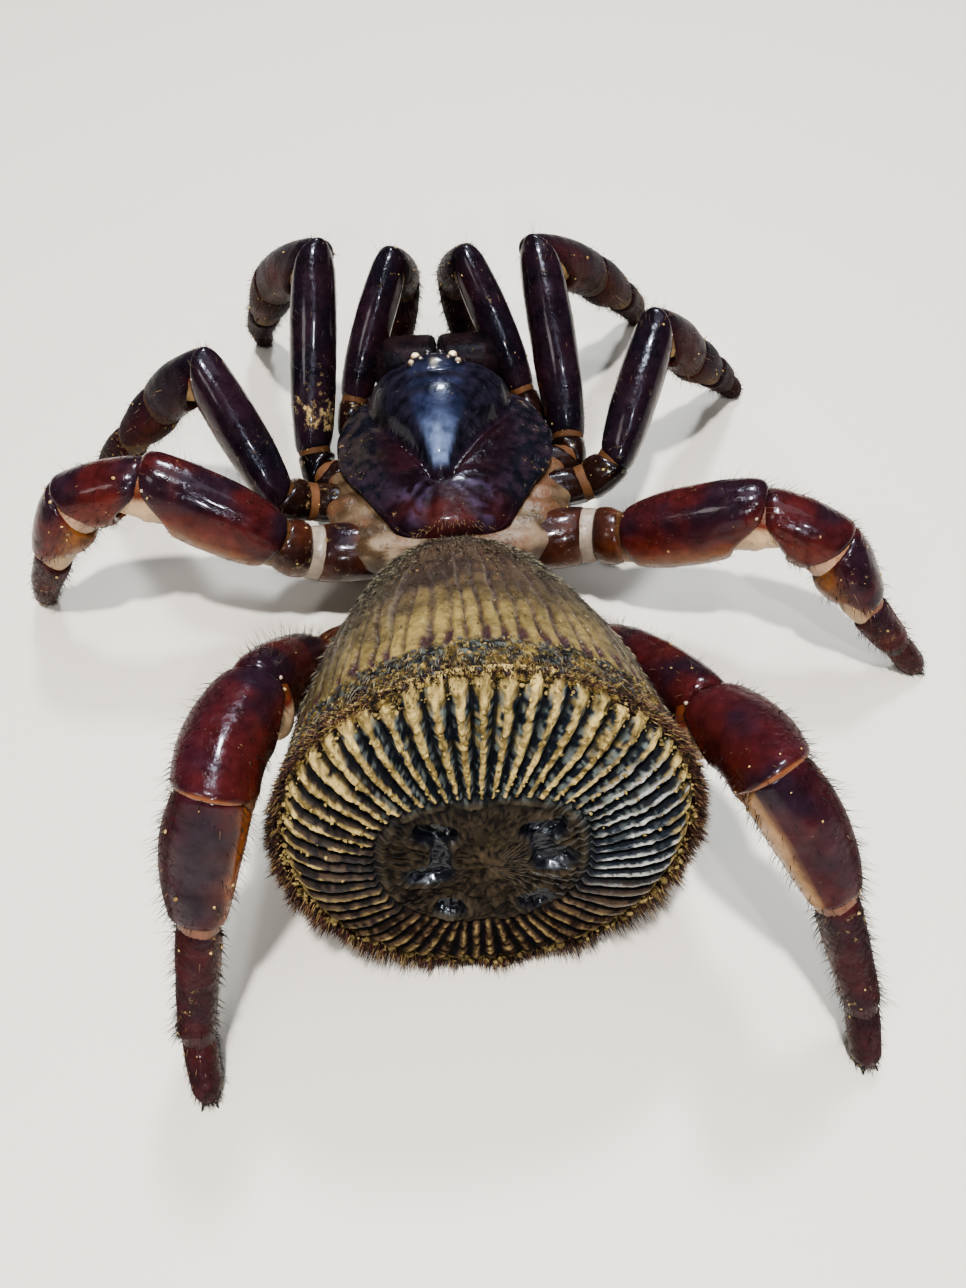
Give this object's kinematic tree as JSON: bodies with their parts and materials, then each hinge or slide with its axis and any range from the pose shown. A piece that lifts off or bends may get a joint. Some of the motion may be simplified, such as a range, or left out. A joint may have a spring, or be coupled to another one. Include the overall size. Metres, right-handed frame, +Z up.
{
  "type": "trapdoor spider display model",
  "caption": "Life-size still model of a trapdoor spider whose blunt abdomen ends in a ribbed hard disk, legs spread in a standing pose",
  "frame": {"origin": "middle of the bounding box at the level the feet rest on", "axes": "+Z up; the head points to -Y and the ribbed disk at the hind end to +Y; +X is the spider's left"},
  "size_m": [0.0462, 0.0507, 0.0155],
  "materials": {
    "shell_dark": "polished dark purple-brown shell",
    "shell_red": "polished red-brown shell",
    "coxa": "amber shell, satin",
    "tarsus": "brown bristly shell, dull",
    "abdomen_skin": "wrinkled grey-gold skin with short hairs",
    "disk": "hard granular ribs with tan soil",
    "eye": "glossy domed eye",
    "fang": "glossy black-brown fang",
    "membrane": "soft pinkish-tan joint skin"
  },
  "bodies": {
    "root": {"abdomen": "abdomen_skin", "abdominal_disk": "disk", "carapace": "shell_dark", "chelicera_left": "shell_dark", "chelicera_right": "shell_dark", "eye_front_middle_left": "eye", "eye_front_middle_right": "eye", "eye_front_side_left": "eye", "eye_front_side_right": "eye", "eye_rear_middle_left": "eye", "eye_rear_middle_right": "eye", "eye_rear_side_left": "eye", "eye_rear_side_right": "eye", "fang_left": "fang", "fang_right": "fang", "leg1_left_coxa": "coxa", "leg1_left_femur": "shell_dark", "leg1_left_foot": "tarsus", "leg1_left_tibia": "shell_dark", "leg1_right_coxa": "coxa", "leg1_right_femur": "shell_dark", "leg1_right_foot": "tarsus", "leg1_right_tibia": "shell_dark", "leg2_left_coxa": "coxa", "leg2_left_femur": "shell_dark", "leg2_left_foot": "tarsus", "leg2_left_tibia": "shell_dark", "leg2_right_coxa": "coxa", "leg2_right_femur": "shell_dark", "leg2_right_foot": "tarsus", "leg2_right_tibia": "shell_dark", "leg3_left_coxa": "coxa", "leg3_left_femur": "shell_red", "leg3_left_foot": "tarsus", "leg3_left_tibia": "shell_red", "leg3_right_coxa": "coxa", "leg3_right_femur": "shell_red", "leg3_right_foot": "tarsus", "leg3_right_tibia": "shell_red", "leg4_left_coxa": "coxa", "leg4_left_femur": "shell_red", "leg4_left_foot": "tarsus", "leg4_left_tibia": "shell_red", "leg4_right_coxa": "coxa", "leg4_right_femur": "shell_red", "leg4_right_foot": "tarsus", "leg4_right_tibia": "shell_red", "palp_left_coxa": "coxa", "palp_left_femur": "shell_dark", "palp_left_tarsus": "tarsus", "palp_left_tibia": "shell_dark", "palp_right_coxa": "coxa", "palp_right_femur": "shell_dark", "palp_right_tarsus": "tarsus", "palp_right_tibia": "shell_dark", "pedicel": "membrane", "spinneret_left": "membrane", "spinneret_right": "membrane", "sternum": "membrane"}
  },
  "joints": []
}
